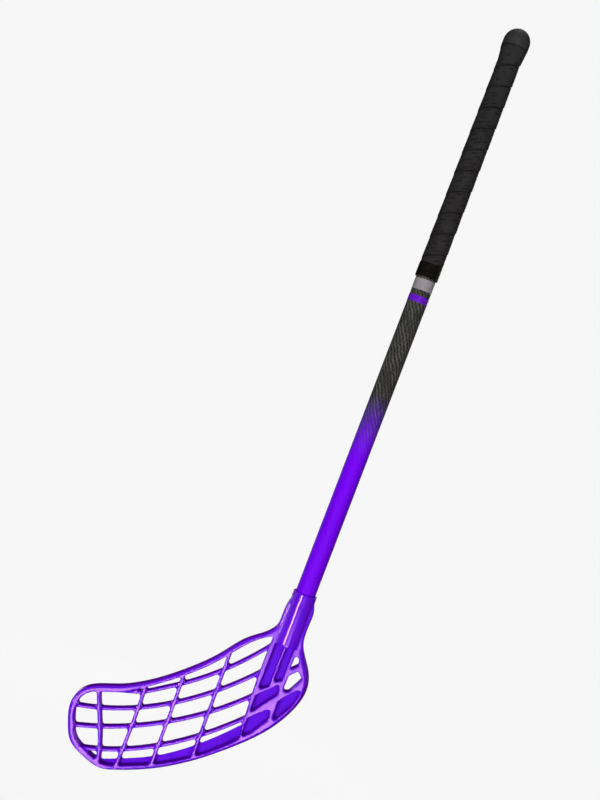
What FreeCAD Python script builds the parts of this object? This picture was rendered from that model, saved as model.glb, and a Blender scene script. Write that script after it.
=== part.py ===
import FreeCAD, Part
import math
import os

# A floorball stick: a hollow shaft with a wound grip and a butt plug, and a lattice blade on its lower end.
# The shaft stands on Z with the butt up. The blade reaches to -X, and its hollow, hooked face looks to -Y.
# The origin is on the shaft's axis, where the upper hand holds the grip. Lengths are in millimetres.

SIZES = {
    # Shaft
    "shaft_diameter": 20.5,
    "shaft_wall": 1.6,
    "shaft_length": 619.5,
    "hold_below_shaft_top": 98.0,
    # Butt plug
    "knob_flare": 1.87,
    "dome_height": 14.0,
    "dome_rim": 6.0,
    "neck_height": 15.5,
    "spigot_length": 34.0,
    "spigot_clearance": 0.05,
    # Grip, its finishing tape, and the sticker and band below it
    "film": 0.03,
    "grip_length": 246.5,
    "grip_thickness": 1.45,
    "grip_pitch": 22.4,
    "grip_seam": 0.6,
    "finish_height": 15.0,
    "finish_thickness": 0.35,
    "label_offset": 2.0,
    "label_height": 11.5,
    "label_thickness": 0.15,
    "label_wrap": 300.0,
    "band_offset": 6.0,
    "band_height": 6.5,
    "band_thickness": 0.15,
    # Blade: socket
    "socket_depth": 52.0,
    "socket_floor": 3.3,
    "socket_wall": 2.0,
    "socket_clearance": 0.05,
    "seat_gap": 0.2,
    # Blade: outline, lattice and heel
    "toe_reach": 179.0,
    "heel_reach": 36.0,
    "blade_drop": 232.0,
    "hook": 15.0,
    "frame_depth": 12.0,
    "frame_width": 5.0,
    "toe_extra": 1.2,
    "edge_radius": 2.4,
    "upright_width": 3.4,
    "long_width": 3.4,
    "long_recess": 1.5,
    "corner_radius": 2.0,
    "ledge": 0.3,
    "web_thickness": 2.5,
    "mouth_chamfer": 0.6,
}

V = FreeCAD.Vector
UP = V(0, 0, 1)
TINY = 0.001

doc = FreeCAD.newDocument("floorball_stick")
sheet = doc.addObject("Spreadsheet::Sheet", "Sizes")
for row, (name, value) in enumerate(SIZES.items(), start=1):
    sheet.set(f"A{row}", name)
    sheet.set(f"B{row}", str(value))
    sheet.setAlias(f"B{row}", name)
doc.recompute()


def size(name):
    """A driving size, as the sheet holds it."""
    return float(sheet.get(name))


# Heights along the shaft, as expressions on the sheet
SHAFT_RADIUS = "Sizes.shaft_diameter / 2"
SHAFT_TOP = "Sizes.hold_below_shaft_top"
NECK_RADIUS = "Sizes.shaft_diameter / 2 + Sizes.knob_flare"
DOME_RADIUS = f"{NECK_RADIUS} + Sizes.grip_thickness + Sizes.film"
GRIP_END = "Sizes.hold_below_shaft_top + Sizes.neck_height - Sizes.grip_length"
LABEL_END = f"{GRIP_END} - Sizes.label_offset - Sizes.label_height"
BAND_END = f"{LABEL_END} - Sizes.band_offset - Sizes.band_height"


def bound(kind, name, **sizes):
    """A primitive whose sizes, and the height z of its foot, are bound to the sheet."""
    thing = doc.addObject(kind, name)
    for key, expression in sizes.items():
        thing.setExpression("Placement.Base.z" if key == "z" else key, expression)
    return thing


def joined(kind, name, base, tool):
    """A boolean of two objects, which carries the sub-part's own label."""
    thing = doc.addObject(kind, name)
    thing.Base = base
    thing.Tool = tool
    thing.Label = name
    return thing


def sleeve(name, inner, wall, height, z, wrap="360"):
    """A tube about the shaft's axis, or one that wraps only some degrees round and is open at the back."""
    radius = f"{inner} + {wall}"
    outer = bound("Part::Cylinder", name + "_outer", Radius=radius, Height=height, Angle=wrap, z=z)
    outer.setExpression("Placement.Rotation.Angle", f"270 - ({wrap}) / 2")
    bore = bound("Part::Cylinder", name + "_bore", Radius=inner, Height=height, z=z)
    return joined("Part::Cut", name, outer, bore)


def make_shaft():
    return sleeve("shaft_tube", "Sizes.shaft_diameter / 2 - Sizes.shaft_wall", "Sizes.shaft_wall",
                  "Sizes.shaft_length", f"{SHAFT_TOP} - Sizes.shaft_length")


def make_plug():
    """A spigot in the shaft, a neck that flares under the grip, and a dome as wide as the grip's upper end."""
    spigot = bound("Part::Cylinder", "plug_spigot", Height="Sizes.spigot_length",
                   Radius="Sizes.shaft_diameter / 2 - Sizes.shaft_wall - Sizes.spigot_clearance",
                   z=f"{SHAFT_TOP} - Sizes.spigot_length")
    neck = bound("Part::Cone", "plug_neck", Radius1=SHAFT_RADIUS, Radius2=NECK_RADIUS,
                 Height="Sizes.neck_height", z=SHAFT_TOP)
    rim = bound("Part::Cylinder", "plug_rim", Radius=DOME_RADIUS, Height="Sizes.dome_rim",
                z=f"{SHAFT_TOP} + Sizes.neck_height")
    dome = bound("Part::Ellipsoid", "plug_dome", Radius1="Sizes.dome_height", Radius2=DOME_RADIUS,
                 Radius3=DOME_RADIUS, Angle1="0", z=f"{SHAFT_TOP} + Sizes.neck_height + Sizes.dome_rim")
    stem = joined("Part::Fuse", "plug_stem", spigot, neck)
    head = joined("Part::Fuse", "plug_head", rim, dome)
    return joined("Part::Fuse", "butt_plug", stem, head)


# The seam runs out at the tape's upper end in front, this part of a turn round from +X.
FRONT_TURN = 0.68


def seam_sections(low, high, inner, outer, pitch, gap):
    """Upright rectangles across the seam between turns, climbing to the right in front."""
    steps_a_turn = 12
    count = math.ceil((high - low) / pitch * steps_a_turn)
    for step in range(count + 1):
        turn = 2 * math.pi * step / steps_a_turn
        height = low + pitch * step / steps_a_turn
        out = V(math.cos(turn), math.sin(turn), 0)
        corners = [out * inner + UP * (height - gap / 2), out * outer + UP * (height - gap / 2),
                   out * outer + UP * (height + gap / 2), out * inner + UP * (height + gap / 2)]
        yield Part.makePolygon(corners + corners[:1])


def make_grip():
    """One tape wound up the shaft and over the plug's neck, with a narrow seam between its turns."""
    film, thickness = size("film"), size("grip_thickness")
    inner = size("shaft_diameter") / 2 + film
    flared = inner + size("knob_flare")
    shaft_top = size("hold_below_shaft_top")
    top = shaft_top + size("neck_height")
    bottom = top - size("grip_length")
    profile = [V(inner, 0, bottom), V(inner, 0, shaft_top), V(flared, 0, top), V(flared + thickness, 0, top),
               V(inner + thickness, 0, shaft_top), V(inner + thickness, 0, bottom)]
    wound = Part.Face(Part.makePolygon(profile + profile[:1])).revolve(V(0, 0, 0), UP, 360)
    pitch, gap = size("grip_pitch"), size("grip_seam")
    turns = math.ceil((top - bottom) / pitch) + FRONT_TURN
    low, high = top - pitch * turns, top + pitch
    sections = seam_sections(low, high, inner - thickness, flared + 2 * thickness, pitch, gap)
    tape = doc.addObject("Part::Feature", "grip_tape")
    tape.Shape = wound.cut(Part.makeLoft(list(sections), True, True))
    print(f"grip_tape: least gap between turns {least_gap(inner + thickness, pitch, gap):.2f} mm")
    return tape


def least_gap(radius, pitch, gap):
    """The least distance between points on the two edges of a seam, over one turn."""
    def edge(height):
        for degrees in range(0, 361, 2):
            out = V(math.cos(math.radians(degrees)), math.sin(math.radians(degrees)), 0)
            yield out * radius + UP * (height + pitch * degrees / 360)

    upper = list(edge(gap))
    return min(p.distanceToPoint(q) for p in edge(0) for q in upper)


def make_finishing_tape():
    return sleeve("finishing_tape", f"{SHAFT_RADIUS} + Sizes.grip_thickness + 2 * Sizes.film",
                  "Sizes.finish_thickness", "Sizes.finish_height", GRIP_END)


def make_label():
    return sleeve("shaft_label", f"{SHAFT_RADIUS} + Sizes.film", "Sizes.label_thickness", "Sizes.label_height",
                  LABEL_END, "Sizes.label_wrap")


def make_band():
    return sleeve("accent_band", f"{SHAFT_RADIUS} + Sizes.film", "Sizes.band_thickness", "Sizes.band_height",
                  BAND_END)


# Blade: drawn in its own plane, x across from the shaft's axis and z up from the socket's mouth.
# The drawing is for the sizes below. It stretches with the reach and drop, and keeps to the socket's sides.
DRAWN_TUBE, DRAWN_TOE, DRAWN_HEEL = 12.3, 179.0, 36.0
DRAWN_LENGTH, DRAWN_DROP = 55.3, 232.0
# Corners narrower than this many degrees stay sharp, and no rounding takes more than its share of a side.
NARROWEST_CORNER = 40
LARGEST_ROUNDING = 0.3
LARGEST_RIM_ROUNDING = 0.45
# How far a cutting tool runs, as a multiple of what it has to pass.
BEYOND = 2.0
LEFT_FIN = [(-10.6, -1), (-11.3, -6), (-13.3, -14), (-14.2, -28), (-15.3, -39.4)]
TOP_EDGE = [(-19.3, -45.9), (-38, -61.6), (-58, -85.6), (-80, -108.2), (-118.5, -137.7), (-138, -147.7),
            (-157, -154.1)]
TOE_EDGE = [(-172.6, -163), (-179, -180), (-175.2, -197.6), (-166, -215.8), (-148, -226.8)]
BOTTOM_EDGE = [(-131, -232), (-110, -228), (-78.9, -215.7), (-46.5, -196.7), (-9.3, -166.4)]
HEEL_EDGE = [(14.9, -140.6), (30.2, -114.7), (36, -90), (31.8, -74.3), (22, -59.2)]
RIGHT_FIN = [(15.6, -46), (14.5, -37), (14.7, -24), (14.4, -14), (11.8, -6), (10.9, -1)]
UPRIGHT_RIBS = [[(-160.2, -151.3), (-152.2, -173.1), (-143.7, -193.8), (-132.7, -232)],
                [(-116.2, -136), (-114.7, -178), (-114.9, -203), (-115.6, -230)],
                [(-84.9, -110), (-83.6, -150), (-83.3, -185), (-83.5, -217)],
                [(-49.3, -72), (-47.5, -198)]]
LONG_RIBS = [[(-156, -159.5), (-127.3, -150.9), (-118.3, -148.2), (-100, -137.9), (-84.5, -128),
              (-49.7, -100.3), (-10, -55.7)],
             [(-180, -181.7), (-115.3, -164.2), (-49.2, -122.7), (-10, -84.5)],
             [(-176, -201.9), (-115.3, -183.6), (-83, -167.6), (-48.2, -144.9), (-9, -109.9)],
             [(-158, -219.8), (-115.3, -208.3), (-47.7, -169.1), (-8, -133.5)]]
SPINE_EDGE = [(-14.5, -50.4), (-14.6, -105), (-10.7, -158)]
WEB_EDGE = [(-134, -227), (-114, -219.7), (-84, -206.4), (-48, -181.2), (-7, -140.3)]
HEEL_POCKETS = [[(-10.4, -54), (-1.2, -54), (-1.2, -99), (-10.4, -105.5)],
                [(1, -54), (9, -54), (9, -88.5), (1, -94)],
                [(-10.3, -111.5), (7.5, -93.2), (9.3, -104), (-7.5, -127), (-10.3, -130)],
                [(-10, -136), (7.5, -119.3), (9.8, -130), (-2, -149), (-10.2, -156.5)],
                [(13, -109.5), (19, -101.5), (28.5, -91.5), (30.2, -96), (27.5, -109), (16, -128.5),
                 (13.3, -127)]]
HEEL_HOLES = [[(12.2, -76.2), (12.6, -63), (14.2, -61), (17, -63), (18.8, -69)],
              [(13.5, -82.1), (20.5, -74.6), (27.1, -80.8), (19, -96.8), (14.6, -98.8), (13.2, -94)]]


def socket():
    """Radius of the socket's bore and of its outside, and its length with the floor."""
    bore = size("shaft_diameter") / 2 + size("socket_clearance")
    return bore, bore + size("socket_wall"), size("socket_depth") + size("socket_floor")


def stretched(value, drawn_near, near, drawn_far, far):
    """A drawn distance, in proportion up to the near line and again from there to the far line."""
    if value < drawn_near:
        return value * near / drawn_near
    return near + (value - drawn_near) * (far - near) / (drawn_far - drawn_near)


def drawn(points):
    """Points of the drawing, stretched to the socket and to the blade's reach and drop."""
    tube, length = socket()[1:]
    placed = []
    for x, z in points:
        drawn_far, far = (DRAWN_TOE, size("toe_reach")) if x < 0 else (DRAWN_HEEL, size("heel_reach"))
        across = stretched(abs(x), DRAWN_TUBE, tube, drawn_far, far)
        down = stretched(-z, DRAWN_LENGTH, length, DRAWN_DROP, size("blade_drop"))
        placed.append((math.copysign(across, x), -down))
    return placed


def flat(point):
    return V(point[0], 0, point[1])


def curve(points):
    """A smooth edge through points of the blade's plane, or a straight one through two."""
    if len(points) == 2:
        return Part.makeLine(flat(points[0]), flat(points[1]))
    spline = Part.BSplineCurve()
    spline.interpolate([flat(p) for p in points])
    return spline.toShape()


def enclosed(*edges):
    return Part.Face(Part.Wire(Part.__sortEdges__(list(edges))))


def aside(points, distances):
    """Points moved to the left of their direction of travel, each by its distance."""
    moved = []
    for i, (x, z) in enumerate(points):
        before, after = points[max(i - 1, 0)], points[min(i + 1, len(points) - 1)]
        along_x, along_z = after[0] - before[0], after[1] - before[1]
        scale = distances[i] / math.hypot(along_x, along_z)
        moved.append((x - along_z * scale, z + along_x * scale))
    return moved


def ribs(lines, width):
    """The faces of ribs of one width, each along its line."""
    faces = []
    for points in lines:
        line = drawn(points)
        left = aside(line, [width / 2] * len(line))
        right = aside(line, [-width / 2] * len(line))
        ends = [curve([left[i], right[i]]) for i in (0, -1)]
        faces.append(enclosed(curve(left), curve(right), *ends))
    return faces


def window(inset):
    """The lattice's window, inside the frame and left of the spine below the socket, drawn in by the inset."""
    rim = drawn(TOP_EDGE + TOE_EDGE + BOTTOM_EDGE)
    widths = [size("frame_width") + inset] * len(rim)
    for i in range(len(TOP_EDGE) - 2, len(TOP_EDGE) + len(TOE_EDGE)):
        widths[i] += size("toe_extra")
    spine = [(x - inset, z) for x, z in drawn(SPINE_EDGE)]
    spine[0] = (spine[0][0], spine[0][1] - inset)
    spine[-1] = (spine[-1][0], spine[-1][1] + inset)
    return enclosed(curve(spine[:1] + aside(rim, widths)[1:-1] + spine[-1:]), curve(spine))


def polygon(points):
    corners = [flat(p) for p in points]
    return Part.Face(Part.makePolygon(corners + corners[:1]))


def below(line):
    """The face from a line across the blade down past its lowest point."""
    points = drawn(line)
    floor = -BEYOND * size("blade_drop")
    low = [(points[0][0], floor), (points[-1][0], floor)]
    return enclosed(curve(points), curve([points[0], low[0]]), curve(low), curve([low[1], points[-1]]))


def through(face):
    """A prism through the whole blade, front to back."""
    reach = BEYOND * (size("frame_depth") + size("hook"))
    return face.translated(V(0, -reach, 0)).extrude(V(0, 2 * reach, 0))


def sharp(prism, edge):
    """Whether two walls of a prism meet in a corner too narrow to round."""
    middle = edge.valueAt((edge.FirstParameter + edge.LastParameter) / 2)
    first, second = [f.normalAt(*f.Surface.parameter(middle)) for f in prism.ancestorsOfType(edge, Part.Face)]
    return math.degrees(first.getAngle(second)) > 180 - NARROWEST_CORNER


def opening(face):
    """A prism whose upright corners are rounded, as far as its sides allow."""
    prism = through(face)
    upright = [e for e in prism.Edges if e.tangentAt(e.FirstParameter).cross(V(0, 1, 0)).Length < TINY]
    corners = [e for e in upright if not sharp(prism, e)]
    shortest = min(e.Length for e in face.Edges)
    return prism.makeFillet(min(size("corner_radius"), shortest * LARGEST_ROUNDING), corners)


def hooked(offset):
    """All that lies in front of a hooked surface, this far behind the blade's middle: a wide upright drum."""
    span = size("heel_reach") + size("toe_reach")
    radius = span ** 2 / (2 * size("hook"))
    low = BEYOND * size("blade_drop")
    return Part.makeCylinder(radius + offset, 2 * low, V(size("heel_reach"), -radius, -low))


def make_lattice_plate(half):
    """The blade's plate with its frame, its cells and the web behind the lowest row of them."""
    edge = drawn(LEFT_FIN + TOP_EDGE + TOE_EDGE + BOTTOM_EDGE + HEEL_EDGE + RIGHT_FIN)
    plate = through(enclosed(curve(edge), curve([edge[0], edge[-1]]))).common(hooked(half)).cut(hooked(-half))
    upright, long, ledge = size("upright_width"), size("long_width"), size("ledge")
    lowest = below(LONG_RIBS[-1])
    cells = window(0).cut(ribs(UPRIGHT_RIBS, upright) + ribs(LONG_RIBS, long))
    floor = half - size("web_thickness")
    tools = [opening(face) for face in cells.cut(lowest).Faces]
    tools += [opening(face).common(hooked(floor)) for face in cells.common(lowest).Faces]
    slots = window(ledge).cut(ribs(UPRIGHT_RIBS, upright + 2 * ledge) + ribs(LONG_RIBS, long + 2 * ledge))
    tools += [opening(face) for face in slots.common(lowest).cut(below(WEB_EDGE)).Faces]
    print(f"blade: {len(cells.Faces)} cells")
    return plate.cut(tools)


def long_rib_recesses(half):
    """What is taken off the long ribs' faces, front and back, between the upright ribs."""
    ledge, depth = size("ledge"), half - size("long_recess")
    columns = window(ledge).cut(ribs(UPRIGHT_RIBS, size("upright_width") + 2 * ledge))
    strips = columns.common(Part.makeCompound(ribs(LONG_RIBS, size("long_width") + 2 * ledge)))
    prisms = [through(face) for face in strips.Faces]
    return [p.common(hooked(-depth)) for p in prisms] + [p.cut(hooked(depth)) for p in prisms]


def make_blade():
    """One moulding: socket, frame, upright ribs at full depth, long ribs set back, and a pocketed heel."""
    half = size("frame_depth") / 2
    bore, tube, length = socket()
    floor = hooked(half - size("web_thickness"))
    pockets = [opening(polygon(drawn(points))).common(floor) for points in HEEL_POCKETS]
    holes = [opening(polygon(drawn(points))) for points in HEEL_HOLES]
    solid = make_lattice_plate(half).cut(pockets + holes).cut(long_rib_recesses(half))
    rims = [e for e in solid.Edges if e.Length > 2 * size("blade_drop")]
    solid = solid.makeFillet(min(size("edge_radius"), LARGEST_RIM_ROUNDING * size("frame_width")), rims)
    solid = solid.fuse(Part.makeCylinder(tube, length, V(0, 0, -length)))
    depth, chamfer = size("socket_depth"), size("mouth_chamfer")
    solid = solid.cut([Part.makeCylinder(bore, depth + chamfer, V(0, 0, -depth)),
                       Part.makeCone(bore, bore + 2 * chamfer, 2 * chamfer, V(0, 0, -chamfer))])
    blade = doc.addObject("Part::Feature", "blade")
    blade.Shape = solid
    mouth = size("hold_below_shaft_top") - size("shaft_length") - size("seat_gap") + depth
    blade.Placement = FreeCAD.Placement(V(0, 0, mouth), FreeCAD.Rotation())
    return blade


PARTS = [make_shaft(), make_plug(), make_grip(), make_finishing_tape(), make_label(), make_band(),
         make_blade()]
doc.recompute()
for thing in doc.Objects:
    if "Invalid" in thing.State or "Error" in thing.State:
        raise RuntimeError(f"{thing.Label} failed: {thing.State}")
for piece in PARTS:
    if piece.Shape.isNull() or not piece.Shape.isValid():
        raise RuntimeError(f"{piece.Label} has no valid shape")

os.makedirs("parts", exist_ok=True)
for piece in PARTS:
    piece.Shape.exportStep(f"parts/{piece.Label}.step")
    box = piece.Shape.optimalBoundingBox(False, False)
    print(f"{piece.Label}: {len(piece.Shape.Solids)} solid, {piece.Shape.Volume:.0f} mm3,"
          f" {box.XLength:.1f} x {box.YLength:.1f} x {box.ZLength:.1f}")
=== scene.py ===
import math

import bmesh
import bpy
import numpy as np
from mathutils import Matrix, Vector


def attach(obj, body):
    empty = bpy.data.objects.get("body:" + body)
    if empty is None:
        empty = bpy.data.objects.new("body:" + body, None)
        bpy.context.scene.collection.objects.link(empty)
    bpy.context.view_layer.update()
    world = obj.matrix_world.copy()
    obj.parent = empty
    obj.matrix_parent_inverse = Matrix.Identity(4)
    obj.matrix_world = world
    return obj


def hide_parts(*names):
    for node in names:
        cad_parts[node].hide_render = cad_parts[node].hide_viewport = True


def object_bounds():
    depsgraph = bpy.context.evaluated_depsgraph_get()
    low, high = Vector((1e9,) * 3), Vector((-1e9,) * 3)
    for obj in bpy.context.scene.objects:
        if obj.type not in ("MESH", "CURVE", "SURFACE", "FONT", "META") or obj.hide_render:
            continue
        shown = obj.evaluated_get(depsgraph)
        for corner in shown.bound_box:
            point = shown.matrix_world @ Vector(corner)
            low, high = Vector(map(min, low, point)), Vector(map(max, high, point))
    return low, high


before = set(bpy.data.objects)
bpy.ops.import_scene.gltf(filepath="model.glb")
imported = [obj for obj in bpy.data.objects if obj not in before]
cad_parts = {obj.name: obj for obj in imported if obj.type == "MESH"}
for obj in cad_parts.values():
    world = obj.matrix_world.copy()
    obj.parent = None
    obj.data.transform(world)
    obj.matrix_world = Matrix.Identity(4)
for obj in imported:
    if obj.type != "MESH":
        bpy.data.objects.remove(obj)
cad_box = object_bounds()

# A full turn in radians, and a millimetre in metres
FULL_TURN = 2 * math.pi
MM = 0.001

# Sizes of the solids, in millimetres
SHAFT_RADIUS = 10.25
SHAFT_TOP = 98.0
GRIP_TOP = 113.5
GRIP_BOTTOM = -133.0
GRIP_INNER = 10.28
GRIP_THICKNESS = 1.45
GRIP_FLARE = 1.87
GRIP_PITCH = 22.4
GRIP_SEAM = 0.16
FINISH_INNER = 11.76
FINISH_HEIGHT = 15.0
BORE_RADIUS = 10.3
SOCKET_MOUTH = -469.7
SOCKET_DEPTH = 52.0
HEEL_REACH = 36.0
HOOK_RADIUS = 1540.8
FRAME_DEPTH = 12.0
FRONT_RADIUS = HOOK_RADIUS - FRAME_DEPTH / 2

# Where the blade's finish changes, in millimetres behind its front face
RECESS_STARTS = 2.2
RECESS_FULL = 4.2
BACK_STARTS = FRAME_DEPTH - 1.2
BACK_FULL = FRAME_DEPTH - 0.4

# The wide rounding of the heel, in millimetres: heights, then its width and depth
HEEL_TOP = -500.0
HEEL_ROW = 1.5
ROUNDING_STARTS = -520.0
ROUNDING_FULL = -560.0
ROUNDING_REACH = 5.2
ROUNDING_DEPTH = 9.5

# How the blade's mesh is evened out, and which of its points then belong to the bore, in millimetres
BLADE_VOXEL = 0.7
BORE_ABOVE_FLOOR = 0.4
BORE_PAST_MOUTH = 1.0
BORE_INSIDE = 1.0
BORE_OUTSIDE = 0.5
BORE_CLEARANCE = 0.02

# Where the shaft's colour turns, in millimetres along Z, and how ragged the turn is
VIOLET_BELOW = -330.0
DARK_ABOVE = -254.0
TURN_RAGGED = 6.0

# The shaft's braid: tows round it, and how far they go round for each millimetre along it
TOWS_ROUND = 16
TOW_LEAN = 0.55

# Part of a turn that sets where the grip's seams lie at the front, and rows of strokes across its tape
FRONT_TURN = 0.68
STROKE_ROWS = 5

# Relief of the grip tape, in millimetres, with the width of the shade painted along its seams
SKIN_CLEARANCE = 0.05
TAPE_EDGE_WIDTH = 1.4
TAPE_EDGE_DROP = 0.55
TAPE_LEAN = 0.2
SEAM_SHADE_WIDTH = 1.1
STROKE_FIRST = 3.2
STROKE_SPACING = 4.0
STROKE_WAVER = 0.7
STROKE_WIDTH = 0.85
STROKE_DEPTH = 0.2
FEWER_STROKES_FROM = 30.0
FEWEST_STROKES_FROM = 80.0

# Relief of the finishing tape, in millimetres
WRAP_MARGIN = 0.25
WRAP_THICKNESS = 0.15
WRAP_LAP = 0.14
WRAP_EDGE_WIDTH = 0.4
WRAP_EDGE_DROP = 0.2
WRINKLE_HEIGHT = 0.022

# Numbers of wrinkles in the finishing tape and of corners on the floor
WRINKLES = 4
FLOOR_CORNERS = 64

# The stage, in metres, and the camera's roll in degrees
FLOOR_RADIUS = 0.55
FLOOR_FADES_FROM = 0.25
FLOOR_FADES_TO = 0.53
FLOOR_DROP = 0.095
CAMERA_PLACE = (-0.0744, -1.1556, -0.2913)
CAMERA_ROLL = 20.9571

# Colours of the lights
WHITE = (1, 1, 1)
PINK = (1, 0.46, 0.62)
ROSE = (1, 0.4, 0.65)

# Most values of a noise lie between these
NOISE_LOW = 0.3
NOISE_HIGH = 0.7


# Materials

class Shader:
    """A node material under construction: a principled surface and short ways to add nodes to it."""

    def __init__(self, name):
        self.material = bpy.data.materials.new(name)
        self.material.use_nodes = True
        self.tree = self.material.node_tree
        self.surface = self.tree.nodes["Principled BSDF"]

    def node(self, kind, **values):
        made = self.tree.nodes.new("ShaderNode" + kind)
        for key, value in values.items():
            setattr(made, key, value)
        return made

    def link(self, source, target):
        self.tree.links.new(source, target)

    def set(self, **values):
        for key, value in values.items():
            self.surface.inputs[key.replace("_", " ")].default_value = value

    def place(self, scale=(1, 1, 1)):
        """Coordinates in metres, fixed to the piece, each axis scaled."""
        mapping = self.node("Mapping")
        mapping.inputs["Scale"].default_value = scale
        self.link(self.node("TexCoord").outputs["Object"], mapping.inputs["Vector"])
        return mapping.outputs["Vector"]

    def split(self, vector):
        made = self.node("SeparateXYZ")
        self.link(vector, made.inputs[0])
        return made.outputs

    def length(self, vector):
        made = self.node("VectorMath", operation="LENGTH")
        self.link(vector, made.inputs[0])
        return made.outputs["Value"]

    def noise(self, scale, detail=3.0, rough=0.5, stretch=(1, 1, 1)):
        noise = self.node("TexNoise")
        noise.inputs["Scale"].default_value = scale
        noise.inputs["Detail"].default_value = detail
        noise.inputs["Roughness"].default_value = rough
        self.link(self.place(stretch), noise.inputs["Vector"])
        return noise.outputs["Fac"]

    def math(self, operation, first, second=None):
        made = self.node("Math", operation=operation)
        for socket, value in zip(made.inputs, (first, second)):
            if isinstance(value, (int, float)):
                socket.default_value = value
            elif value is not None:
                self.link(value, socket)
        return made.outputs[0]

    def ranged(self, value, low, high, to_low, to_high, smooth=False):
        """A number that goes from to_low to to_high as a value goes from low to high."""
        made = self.node("MapRange", interpolation_type="SMOOTHSTEP" if smooth else "LINEAR")
        self.link(value, made.inputs["Value"])
        for name, number in (("From Min", low), ("From Max", high), ("To Min", to_low), ("To Max", to_high)):
            made.inputs[name].default_value = number
        return made.outputs["Result"]

    def varied(self, noise, least, most):
        """A number that goes from least to most with a noise."""
        return self.ranged(noise, NOISE_LOW, NOISE_HIGH, least, most)

    def ramp(self, value, *stops):
        """A colour that follows a value through (place, (r, g, b)) stops."""
        made = self.node("ValToRGB")
        elements = made.color_ramp.elements
        while len(elements) < len(stops):
            elements.new(0.5)
        for element, (place, colour) in zip(elements, stops):
            element.position = place
            element.color = (*colour, 1)
        self.link(value, made.inputs["Fac"])
        return made.outputs["Color"]

    def two_tone(self, noise, dark, light, low=NOISE_LOW, high=NOISE_HIGH):
        """A colour that goes from dark to light with a noise."""
        return self.ramp(noise, (low, dark), (high, light))

    def mixed(self, share, first, second):
        made = self.node("Mix", data_type="RGBA")
        self.link(share, made.inputs["Factor"])
        self.link(first, made.inputs["A"])
        self.link(second, made.inputs["B"])
        return made.outputs["Result"]

    def colour(self, socket):
        self.link(socket, self.surface.inputs["Base Color"])

    def roughness(self, socket):
        self.link(socket, self.surface.inputs["Roughness"])

    def bump(self, height, strength, distance):
        made = self.node("Bump")
        made.inputs["Strength"].default_value = strength
        made.inputs["Distance"].default_value = distance
        self.link(height, made.inputs["Height"])
        self.link(made.outputs["Normal"], self.surface.inputs["Normal"])


def recess_of_blade(shader):
    """One in the recesses between the blade's two faces and zero on the faces."""
    from_axis = shader.node("VectorMath", operation="ADD")
    shader.link(shader.place((1 / MM, 1 / MM, 0)), from_axis.inputs[0])
    from_axis.inputs[1].default_value = (-HEEL_REACH, HOOK_RADIUS, 0)
    depth = shader.math("SUBTRACT", shader.length(from_axis.outputs[0]), FRONT_RADIUS)
    behind_front = shader.ranged(depth, RECESS_STARTS, RECESS_FULL, 0, 1, smooth=True)
    before_back = shader.ranged(depth, BACK_STARTS, BACK_FULL, 1, 0, smooth=True)
    return shader.math("MULTIPLY", behind_front, before_back)


def blade_plastic():
    """Moulded violet: polished on its faces, textured and dull in the recesses, with painted shade in a
    redder tone on its walls.
    """
    face_gloss = 0.4
    recess_gloss = 0.02
    recess_roughness = 0.35
    shader = Shader("blade_plastic")
    recess = recess_of_blade(shader)
    cloud = shader.noise(28, detail=4)
    face = shader.two_tone(cloud, (0.084, 0.004, 0.49), (0.102, 0.007, 0.57))
    # Painted shade: the walls, found by the way they face, take this redder tone for the magenta shade of the
    # translucent plastic
    edge = shader.two_tone(cloud, (0.130, 0.001, 0.36), (0.160, 0.002, 0.44))
    normal = shader.split(shader.node("TexCoord").outputs["Normal"])
    wall = shader.ranged(shader.math("ABSOLUTE", normal["Y"]), 0.25, 0.7, 1, 0, smooth=True)
    shader.colour(shader.mixed(wall, face, edge))
    polish = shader.varied(shader.noise(160), 0.13, 0.19)
    shader.roughness(shader.math("ADD", polish, shader.math("MULTIPLY", recess, recess_roughness)))
    gloss = shader.ranged(recess, 0, 1, face_gloss, recess_gloss)
    shader.link(gloss, shader.surface.inputs["Specular IOR Level"])
    grain = shader.math("MULTIPLY", shader.noise(900, detail=2), shader.ranged(recess, 0, 1, 0.3, 1))
    shader.bump(grain, strength=0.1, distance=0.0004)
    shader.set(Subsurface_Weight=0.8, Subsurface_Radius=(1.0, 0.3, 0.7), Subsurface_Scale=0.004)
    return shader.material


def braid_of_shaft(shader, fibre):
    """Height of the braid, with broad tows over faint crossing ones, and millimetres along the shaft."""
    under_share = 0.2
    fibre_share = 0.3
    axes = shader.split(shader.place((1 / MM, 1 / MM, 1 / MM)))
    angle = shader.math("ARCTAN2", axes["Y"], axes["X"])
    round_shaft = shader.math("MULTIPLY", angle, SHAFT_RADIUS)
    lean = shader.math("MULTIPLY", axes["Z"], TOW_LEAN)
    waver = shader.varied(shader.noise(90), -2, 2)
    waves = []
    for direction in ("ADD", "SUBTRACT"):
        place = shader.math(direction, round_shaft, lean)
        phase = shader.math("MULTIPLY", place, TOWS_ROUND / SHAFT_RADIUS)
        waves.append(shader.math("SINE", shader.math("ADD", phase, waver)))
    over = shader.ranged(waves[0], -0.8, 0.45, -1, 1, smooth=True)
    broken = shader.ranged(shader.noise(150, detail=2, stretch=(1, 1, 0.5)), 0.35, 0.6, 0.25, 1)
    under = shader.math("MULTIPLY", waves[1], under_share)
    braid = shader.math("MAXIMUM", shader.math("MULTIPLY", over, broken), under)
    tows = shader.ranged(braid, -0.6, 1, 0, 0.75)
    return shader.math("ADD", tows, shader.math("MULTIPLY", fibre, fibre_share)), axes["Z"]


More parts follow.
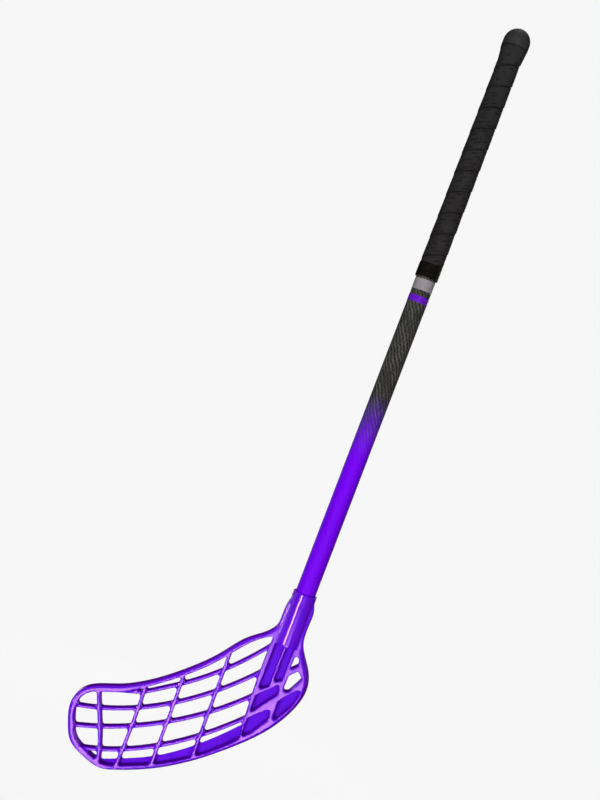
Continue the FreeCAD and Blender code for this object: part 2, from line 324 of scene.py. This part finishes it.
def shaft_lacquer():
    """Dark braided composite under satin lacquer, which turns to solid violet further down; the braid's
    colour holds painted shade in its gaps and a painted sheen on its tow tops.
    """
    shader = Shader("shaft_composite")
    fibre = shader.noise(320, detail=4, rough=0.6, stretch=(1, 1, 0.12))
    woven, along = braid_of_shaft(shader, fibre)
    # The braid's pattern, coloured by its height: painted shade in the gaps and a painted sheen on the tops
    # of the tows
    gap_shade = (0.0045, 0.0048, 0.0042)
    sides = (0.0175, 0.0188, 0.0165)
    top_sheen = (0.056, 0.0585, 0.0525)
    dark = shader.ramp(woven, (0.22, gap_shade), (0.47, sides), (0.8, top_sheen))
    streaks = shader.noise(60, stretch=(1, 1, 0.1))
    violet = shader.two_tone(streaks, (0.104, 0.0003, 0.56), (0.120, 0.0006, 0.63))
    ragged = shader.math("ADD", along, shader.varied(fibre, -TURN_RAGGED, TURN_RAGGED))
    turn = shader.ranged(ragged, VIOLET_BELOW, DARK_ABOVE, 0, 1, smooth=True)
    shader.colour(shader.mixed(turn, violet, dark))
    shader.roughness(shader.varied(fibre, 0.46, 0.6))
    shader.bump(woven, strength=0.12, distance=0.0002)
    shader.set(Specular_IOR_Level=0.06)
    return shader.material


def grip_foam():
    """Matte black foam tape with a fine pebble, with painted shade in its seams and embossed strokes."""
    shader = Shader("grip_foam")
    cloud = shader.noise(55, detail=5, rough=0.6)
    foam = shader.two_tone(cloud, (0.011, 0.0111, 0.0111), (0.0175, 0.0177, 0.0177), high=0.75)
    # Painted shade: this darker colour is laid into the seams and embossed strokes wherever the crease
    # attribute is high
    pressed = shader.two_tone(shader.noise(400), (0.005, 0.005, 0.005), (0.007, 0.007, 0.007))
    crease_shade = shader.node("Attribute", attribute_name="crease_shade").outputs["Fac"]
    shader.colour(shader.mixed(crease_shade, foam, pressed))
    shader.roughness(shader.varied(shader.noise(240), 0.62, 0.82))
    shader.bump(shader.noise(1500, rough=0.6), strength=0.25, distance=0.0003)
    shader.set(Specular_IOR_Level=0.3)
    return shader.material


def plug_rubber():
    """Moulded black, a little smoother than the tape."""
    shader = Shader("plug_plastic")
    cloud = shader.noise(90, detail=4, rough=0.6)
    shader.colour(shader.two_tone(cloud, (0.016, 0.016, 0.0162), (0.0245, 0.0245, 0.0245), high=0.75))
    shader.roughness(shader.varied(shader.noise(200), 0.5, 0.66))
    shader.bump(shader.noise(1100, rough=0.6), strength=0.2, distance=0.0003)
    return shader.material


def gloss_tape():
    """Stretched glossy black tape, with fine wrinkles round it."""
    shader = Shader("gloss_tape")
    wrinkles = shader.noise(260, detail=4, rough=0.55, stretch=(0.35, 0.35, 2.2))
    cloud = shader.noise(300)
    shader.colour(shader.two_tone(cloud, (0.0025, 0.0023, 0.002), (0.0075, 0.0062, 0.0054), high=0.8))
    shader.roughness(shader.varied(wrinkles, 0.16, 0.32))
    shader.bump(wrinkles, strength=0.5, distance=0.0004)
    shader.set(Specular_IOR_Level=0.22)
    return shader.material


def label_film():
    """Satin grey film, faintly brushed round the shaft."""
    shader = Shader("label_film")
    brushed = shader.noise(700, detail=4, rough=0.6, stretch=(0.15, 0.15, 2))
    shader.colour(shader.two_tone(brushed, (0.145, 0.139, 0.144), (0.218, 0.208, 0.217), low=0.25, high=0.75))
    shader.roughness(shader.varied(brushed, 0.34, 0.48))
    shader.bump(brushed, strength=0.1, distance=0.0002)
    return shader.material


def band_film():
    """Satin violet film, faintly brushed round the shaft."""
    shader = Shader("band_film")
    brushed = shader.noise(500, rough=0.6, stretch=(0.2, 0.2, 2))
    shader.colour(shader.two_tone(brushed, (0.078, 0.004, 0.33), (0.098, 0.006, 0.40), high=0.75))
    shader.roughness(shader.varied(brushed, 0.28, 0.4))
    shader.bump(brushed, strength=0.08, distance=0.0002)
    return shader.material


# Pieces

def dressed(piece, material):
    piece.data.materials.clear()
    piece.data.materials.append(material)
    return piece


def linked(name, data):
    piece = bpy.data.objects.new(name, data)
    bpy.context.scene.collection.objects.link(piece)
    return piece


def standing_for(piece, node, body, material):
    """A new piece that takes the place of a solid, moves with its body and has its finish."""
    dressed(piece, material)
    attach(piece, body)
    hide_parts(node)
    return piece


def smooth_mesh(name, points, faces, sharp_degrees):
    """A mesh from points in millimetres, smooth except where it turns sharply."""
    mesh = bpy.data.meshes.new(name)
    mesh.from_pydata((np.asarray(points) * MM).tolist(), [], faces)
    mesh.validate()
    mesh.shade_smooth()
    mesh.set_sharp_from_angle(angle=math.radians(sharp_degrees))
    return mesh


def baked(piece):
    """The piece with its modifiers applied."""
    graph = bpy.context.evaluated_depsgraph_get()
    mesh = bpy.data.meshes.new_from_object(piece.evaluated_get(graph))
    piece.modifiers.clear()
    piece.data = mesh
    return piece


def clipped(value, start, full):
    """Zero at start, one at full, and straight between them."""
    return np.clip((value - start) / (full - start), 0, 1)


def heel_rounded(points):
    """The blade's points with the outer edge of the heel's front face drawn back into a wide rounding."""
    height = points[:, 2]
    low = height.min()
    step = HEEL_ROW * MM
    levels = np.arange(low, HEEL_TOP * MM, step)
    rows = np.clip(((height - low) / step).astype(int), 0, len(levels) - 1)
    edge = np.full(len(levels), -1.0)
    np.maximum.at(edge, rows, points[:, 0])
    rows_evened = 7
    edge = np.convolve(np.pad(edge, rows_evened // 2, "edge"), np.ones(rows_evened) / rows_evened, "valid")
    outward = np.interp(height, levels, 1 / np.hypot(1, np.gradient(edge, step)))
    inset = (np.interp(height, levels, edge) - points[:, 0]) * outward
    strength = clipped(outward, 0.25, 0.65) * clipped(height, ROUNDING_STARTS * MM, ROUNDING_FULL * MM)
    away = points[:, :2] - np.array([HEEL_REACH, -HOOK_RADIUS]) * MM
    radius = np.hypot(away[:, 0], away[:, 1])
    depth_left = 1 - clipped(radius, FRONT_RADIUS * MM, (FRONT_RADIUS + FRAME_DEPTH) * MM)
    profile = np.clip(1 - inset / (ROUNDING_REACH * MM), 0, 1) ** 2
    shift = ROUNDING_DEPTH * MM * strength * depth_left * profile
    points[:, :2] += away * (shift / radius)[:, None]
    return points


def bore_trued(points):
    """The blade's points with the socket's bore made round again, just clear of the shaft."""
    radius = np.hypot(points[:, 0], points[:, 1]) / MM
    height = points[:, 2] / MM
    floor = SOCKET_MOUTH - SOCKET_DEPTH
    inside = (height > floor + BORE_ABOVE_FLOOR) & (height < SOCKET_MOUTH + BORE_PAST_MOUTH)
    wall = inside & (radius > BORE_RADIUS - BORE_INSIDE) & (radius < BORE_RADIUS + BORE_OUTSIDE)
    points[wall, :2] *= ((BORE_RADIUS + BORE_CLEARANCE) / radius[wall])[:, None]
    return points


def moulded_blade():
    """The blade's solid with the small rounding that a moulding has on every edge."""
    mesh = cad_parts["blade"].data.copy()
    welded = bmesh.new()
    welded.from_mesh(mesh)
    bmesh.ops.remove_doubles(welded, verts=welded.verts, dist=1e-7)
    welded.to_mesh(mesh)
    welded.free()
    blade = linked("moulded_blade", mesh)
    remesh = blade.modifiers.new("even", "REMESH")
    remesh.mode = "VOXEL"
    remesh.voxel_size = BLADE_VOXEL * MM
    smooth = blade.modifiers.new("rounding", "SMOOTH")
    smooth.factor = 0.5
    smooth.iterations = 4
    baked(blade)
    points = np.empty(len(blade.data.vertices) * 3, np.float32)
    blade.data.vertices.foreach_get("co", points)
    points = heel_rounded(bore_trued(points.reshape(-1, 3)))
    blade.data.vertices.foreach_set("co", points.ravel())
    blade.data.update()
    blade.data.shade_smooth()
    return blade


def swept(name, rings, closed, sharp_degrees):
    """A mesh through rings of points, each joined to the next, with its ends capped or joined."""
    count = len(rings[0])
    starts = [i * count for i in range(len(rings))]
    pairs = list(zip(starts, starts[1:]))
    if closed:
        pairs.append((starts[-1], starts[0]))
    faces = [(a + i, b + i, b + (i + 1) % count, a + (i + 1) % count) for a, b in pairs for i in range(count)]
    if not closed:
        faces.append(tuple(starts[0] + i for i in range(count)))
        faces.append(tuple(starts[-1] + i for i in reversed(range(count))))
    return linked(name, smooth_mesh(name, np.concatenate(rings), faces, sharp_degrees))


def cylinder_points(radius, angle, z):
    return np.stack([radius * math.cos(angle), radius * math.sin(angle), z], 1)


def grip_radius(z):
    """Inner radius of the grip, which widens over the plug's neck."""
    return GRIP_INNER + GRIP_FLARE * clipped(z, SHAFT_TOP, GRIP_TOP)


def embossed(angle, z, width, phases):
    """How far the tape is pressed in, from 0 to 1: broken strokes in rows along it, fewer near the knob."""
    stroke = np.zeros(len(z))
    needed = -0.15 + 0.6 * clipped(z, FEWER_STROKES_FROM, FEWEST_STROKES_FROM)
    for row in range(STROKE_ROWS):
        middle = STROKE_FIRST + STROKE_SPACING * row + STROKE_WAVER * math.sin(1.7 * angle + phases[0, row])
        pressed = 0.7 * math.sin((2.3 + 0.83 * row) * angle + phases[1, row])
        pressed += 0.5 * math.sin((8.1 - 0.71 * row) * angle + phases[2, row])
        strength = np.clip((pressed - needed) / 0.35, 0, 1)
        stroke = np.maximum(stroke, strength * np.exp(-((width - middle) / STROKE_WIDTH) ** 2))
    return stroke


def wound_grip():
    """One foam tape wound up the shaft: soft edges, the lower one proud, and short embossed strokes."""
    across = 64
    steps_a_turn = 96
    back_points = 4
    least_width = 0.5
    past_wrap = 0.5
    seam_shade = 0.85
    stroke_shade = 0.95
    tape_width = GRIP_PITCH - GRIP_SEAM
    under_wrap = GRIP_BOTTOM + FINISH_HEIGHT + past_wrap
    turns = math.ceil((GRIP_TOP - GRIP_BOTTOM) / GRIP_PITCH) + FRONT_TURN
    first = GRIP_TOP - GRIP_PITCH * turns
    phases = np.random.default_rng(7).uniform(0, FULL_TURN, (3, STROKE_ROWS))
    even = np.linspace(0, 1, across)
    share = 0.75 * even + 0.25 * (1 - np.cos(math.pi * even)) / 2
    rings = []
    crease_shades = []
    for step in range(int((turns + 1) * steps_a_turn)):
        angle = FULL_TURN * step / steps_a_turn
        edge = first + GRIP_PITCH * step / steps_a_turn + GRIP_SEAM / 2
        low = max(edge, GRIP_BOTTOM)
        high = min(edge + tape_width, GRIP_TOP)
        if high - low < least_width:
            continue
        z = low + (high - low) * share
        width = z - edge
        from_edge = np.minimum(z - low, high - z)
        fall = 1 - clipped(from_edge, 0, TAPE_EDGE_WIDTH)
        rounding = TAPE_EDGE_DROP * (1 - np.sqrt(1 - fall ** 2))
        lean = TAPE_LEAN * (1 - 2 * width / tape_width)
        stroke = embossed(angle, z, width, phases)
        skin = GRIP_THICKNESS - SKIN_CLEARANCE + lean - rounding - STROKE_DEPTH * stroke
        radius = grip_radius(z) + skin
        radius = np.where(z < under_wrap, np.minimum(radius, FINISH_INNER - SKIN_CLEARANCE), radius)
        back = np.linspace(high, low, back_points)
        outline = np.concatenate([radius, grip_radius(back)])
        rings.append(cylinder_points(outline, angle, np.concatenate([z, back])))
        # Painted shade along the seams and in the strokes, kept on the tape for the foam's colour
        seam = np.exp(-(from_edge / SEAM_SHADE_WIDTH) ** 2)
        crease_shade = np.maximum(seam_shade * seam, stroke_shade * stroke)
        crease_shades.append(np.concatenate([crease_shade, np.zeros(back_points)]))
    grip = swept("wound_grip", rings, closed=False, sharp_degrees=50)
    attribute = grip.data.attributes.new("crease_shade", "FLOAT", "POINT")
    attribute.data.foreach_set("value", np.concatenate(crease_shades).astype(np.float32))
    return grip


def wrinkled(angle, z, phases):
    """Fine wrinkles round the finishing tape, each pulled more or less tight on its way round."""
    wrinkle = np.zeros(len(z))
    for i in range(WRINKLES):
        pull = 0.6 + 0.4 * math.sin((2 + i) * angle + phases[i])
        bend = (1.5 + i) * math.sin(angle + phases[WRINKLES + i])
        wrinkle += WRINKLE_HEIGHT * pull * np.sin((1.1 + 0.55 * i) * z + bend)
    return wrinkle


def stretched_wrap():
    """The tape that ends the grip: ragged at both edges, wrinkled, and its free end lapped over."""
    steps = 240
    across = 25
    lap_angle = math.radians(-48)
    phases = np.random.default_rng(11).uniform(0, FULL_TURN, 3 + 2 * WRINKLES)
    rings = []
    for step in range(steps):
        angle = FULL_TURN * step / steps
        low_wave = 0.16 * math.sin(3 * angle + phases[0]) + 0.1 * math.sin(8 * angle + phases[1])
        high_wave = 0.14 * math.sin(4 * angle + phases[2])
        low = GRIP_BOTTOM + WRAP_MARGIN + low_wave
        high = GRIP_BOTTOM + FINISH_HEIGHT - WRAP_MARGIN + high_wave
        z = np.linspace(low, high, across)
        since_lap = (angle - lap_angle) % FULL_TURN
        lapped = WRAP_LAP * (1 - clipped(since_lap, 0, 0.05) + clipped(since_lap, 1.2, 6.2))
        from_edge = np.minimum(z - low, high - z)
        rounding = WRAP_EDGE_DROP * (1 - clipped(from_edge, 0, WRAP_EDGE_WIDTH)) ** 2
        radius = FINISH_INNER + WRAP_THICKNESS + lapped + wrinkled(angle, z, phases[3:]) - rounding
        outline = np.concatenate([radius, [FINISH_INNER, FINISH_INNER]])
        rings.append(cylinder_points(outline, angle, np.concatenate([z, [high, low]])))
    return swept("stretched_wrap", rings, closed=True, sharp_degrees=60)


standing_for(moulded_blade(), "blade", "blade", blade_plastic())
standing_for(wound_grip(), "grip_tape", "handle", grip_foam())
standing_for(stretched_wrap(), "finishing_tape", "handle", gloss_tape())
dressed(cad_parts["shaft_tube"], shaft_lacquer())
dressed(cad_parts["butt_plug"], plug_rubber())
dressed(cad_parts["shaft_label"], label_film())
dressed(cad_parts["accent_band"], band_film())


# Stage: a pale floor that fades out, pale surroundings and soft lights all round

def pale_floor():
    """A disc under and behind the object, low enough for the pulled-out blade, faded out towards its edge."""
    turns = [FULL_TURN * i / FLOOR_CORNERS for i in range(FLOOR_CORNERS)]
    corners = [(FLOOR_RADIUS * math.cos(turn), FLOOR_RADIUS * math.sin(turn), 0) for turn in turns]
    mesh = bpy.data.meshes.new("floor")
    mesh.from_pydata(corners, [], [tuple(range(FLOOR_CORNERS))])
    floor = linked("floor", mesh)
    floor.location = (-0.07, 0.3, cad_box[0].z - FLOOR_DROP)
    shader = Shader("floor")
    shader.set(Roughness=0.9, Specular_IOR_Level=0.1, Emission_Color=(1, 1, 1, 1), Emission_Strength=0.842)
    shader.colour(shader.two_tone(shader.noise(40, detail=2), (0.19, 0.19, 0.19), (0.21, 0.21, 0.21)))
    from_middle = shader.length(shader.place((1, 1, 0)))
    clear = shader.ranged(from_middle, FLOOR_FADES_FROM, FLOOR_FADES_TO, 0, 1, smooth=True)
    blend = shader.node("MixShader")
    shader.link(clear, blend.inputs["Fac"])
    shader.link(shader.surface.outputs["BSDF"], blend.inputs[1])
    shader.link(shader.node("BsdfTransparent").outputs["BSDF"], blend.inputs[2])
    shader.link(blend.outputs["Shader"], shader.tree.nodes["Material Output"].inputs["Surface"])
    dressed(floor, shader.material)
    floor.visible_diffuse = False
    floor.visible_glossy = False
    floor.visible_shadow = False


def backdrop():
    """Even pale surroundings, which are seen but give no light of their own."""
    world = bpy.data.worlds.new("backdrop")
    world.use_nodes = True
    world.node_tree.nodes["Background"].inputs["Color"].default_value = (0.93, 0.93, 0.93, 1)
    for ray in ("diffuse", "glossy", "transmission", "scatter"):
        setattr(world.cycles_visibility, ray, False)
    bpy.context.scene.world = world


def soft_light(name, place, target, size, power, colour=WHITE, spread=180, matte=True, gloss=True):
    """An area light that faces its target, and that matte or glossy reflection can leave out."""
    lamp = bpy.data.lights.new(name, "AREA")
    lamp.shape = "RECTANGLE"
    lamp.size, lamp.size_y = size
    lamp.energy = power
    lamp.color = colour
    lamp.spread = math.radians(spread)
    light = linked(name, lamp)
    light.location = place
    light.visible_diffuse = matte
    light.visible_glossy = gloss
    light.rotation_mode = "QUATERNION"
    light.rotation_quaternion = (Vector(target) - Vector(place)).to_track_quat("-Z", "Y")


def gleam(name, place, target, size, power, spread, colour=PINK):
    """A narrow light that shows only as a reflection."""
    soft_light(name, place, target, size, power, colour, spread, matte=False)


def lights():
    """Even light on what the camera sees, narrow gleams aimed at the blade, and soft light all round."""
    middle = (0, 0, -0.35)
    blade = (-0.08, 0, -0.66)
    soft_light("key", (-0.44, -1.66, -0.7), (-0.05, 0, -0.4), size=(0.6, 0.6), power=39, gloss=False)
    soft_light("fill", (0.4, -1.5, -0.7), (-0.05, 0, -0.64), size=(0.6, 0.6), power=0.85, colour=ROSE,
               spread=40, gloss=False)
    gleam("strip", (-0.64, -1.38, -0.78), (0, 0, -0.53), size=(0.34, 0.36), power=0.42, spread=24)
    gleam("low", (0.13, -1.2, -1.06), (-0.03, 0, -0.65), size=(0.46, 0.64), power=0.43, spread=28)
    gleam("under", (0.03, -0.8, -1.62), (-0.05, 0, -0.69), size=(0.7, 0.8), power=1.7, spread=32)
    soft_light("upper", (0.14, -0.92, 0.25), (0.03, 0, 0.1), size=(0.5, 0.4), power=0.82, spread=50,
               gloss=False)
    soft_light("left", (-1.7, 0.1, 0), (0, 0, -0.3), size=(0.9, 1.2), power=2.5, gloss=False)
    gleam("left rim", (-1.7, 0.1, -0.7), blade, size=(0.9, 0.5), power=0.08, spread=30, colour=WHITE)
    gleam("back rim", (-1.05, 1.45, -0.65), blade, size=(0.7, 0.5), power=0.2, spread=30, colour=WHITE)
    soft_light("right", (1.7, 0.3, 0), (0, 0, -0.3), size=(0.9, 1.2), power=0.7)
    soft_light("side", (1.0, 1.6, -0.85), middle, size=(0.8, 0.8), power=20, gloss=False)
    soft_light("rear", (0.1, 1.9, -0.9), middle, size=(1.0, 0.8), power=36, gloss=False)
    soft_light("back left", (-1.05, 1.45, 0), middle, size=(0.7, 1.2), power=10, gloss=False)
    soft_light("back right", (0.85, 1.6, -0.2), middle, size=(0.5, 1.2), power=5)
    soft_light("top", (0, 0.3, 1.5), (0, 0, 0), size=(0.8, 0.8), power=4)


def camera():
    """At the photograph's angle: level, square on, and rolled so that the stick leans."""
    lens = bpy.data.cameras.new("camera")
    lens.lens = 52
    lens.sensor_width = 36
    lens.clip_start = 0.01
    seen = linked("camera", lens)
    roll = math.radians(CAMERA_ROLL)
    right = Vector((math.cos(roll), 0, math.sin(roll)))
    up = Vector((-math.sin(roll), 0, math.cos(roll)))
    back = Vector((0, -1, 0))
    turn = Matrix((right, up, back)).transposed().to_4x4()
    seen.matrix_world = Matrix.Translation(CAMERA_PLACE) @ turn
    bpy.context.scene.camera = seen


pale_floor()
backdrop()
lights()
camera()
bpy.context.scene.view_settings.view_transform = "Standard"
